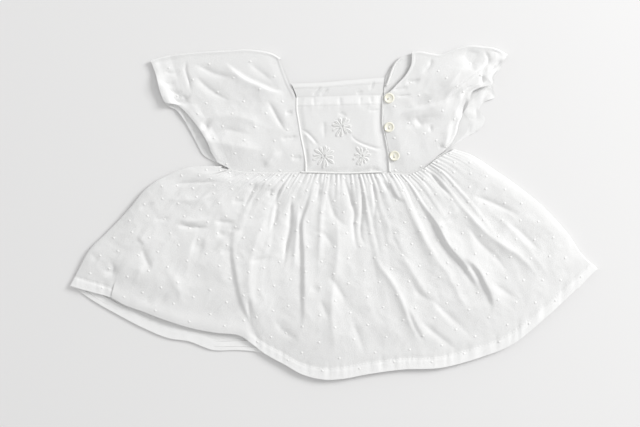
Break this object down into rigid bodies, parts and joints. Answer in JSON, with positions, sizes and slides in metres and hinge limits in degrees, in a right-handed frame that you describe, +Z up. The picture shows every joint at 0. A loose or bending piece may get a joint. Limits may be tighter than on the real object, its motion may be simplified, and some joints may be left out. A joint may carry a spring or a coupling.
{
  "type": "baby tunic laid flat",
  "caption": "Short-sleeved white cotton baby tunic lying flat on its back, with a piped square yoke, side buttons and a full gathered skirt that has slipped round to one side.",
  "frame": {"origin": "on the surface that the tunic lies on, under the middle of its bounding box", "axes": "+Y from the hem to the neck, +X to the side with the buttons, +Z up out of the surface"},
  "size_m": [0.5283, 0.3339, 0.0067],
  "materials": {
    "cotton": "thin woven cotton with raised dots, matt",
    "piping": "cotton-covered cord, matt",
    "button": "polished cream shell"
  },
  "bodies": {
    "root": {"yoke_front": "cotton", "yoke_back": "cotton", "side_sleeve_left": "cotton", "side_sleeve_right": "cotton", "skirt_front": "cotton", "skirt_back": "cotton", "piping_left": "piping", "piping_right": "piping", "piping_waist": "piping", "button_top": "button", "button_middle": "button", "button_bottom": "button"}
  },
  "joints": []
}
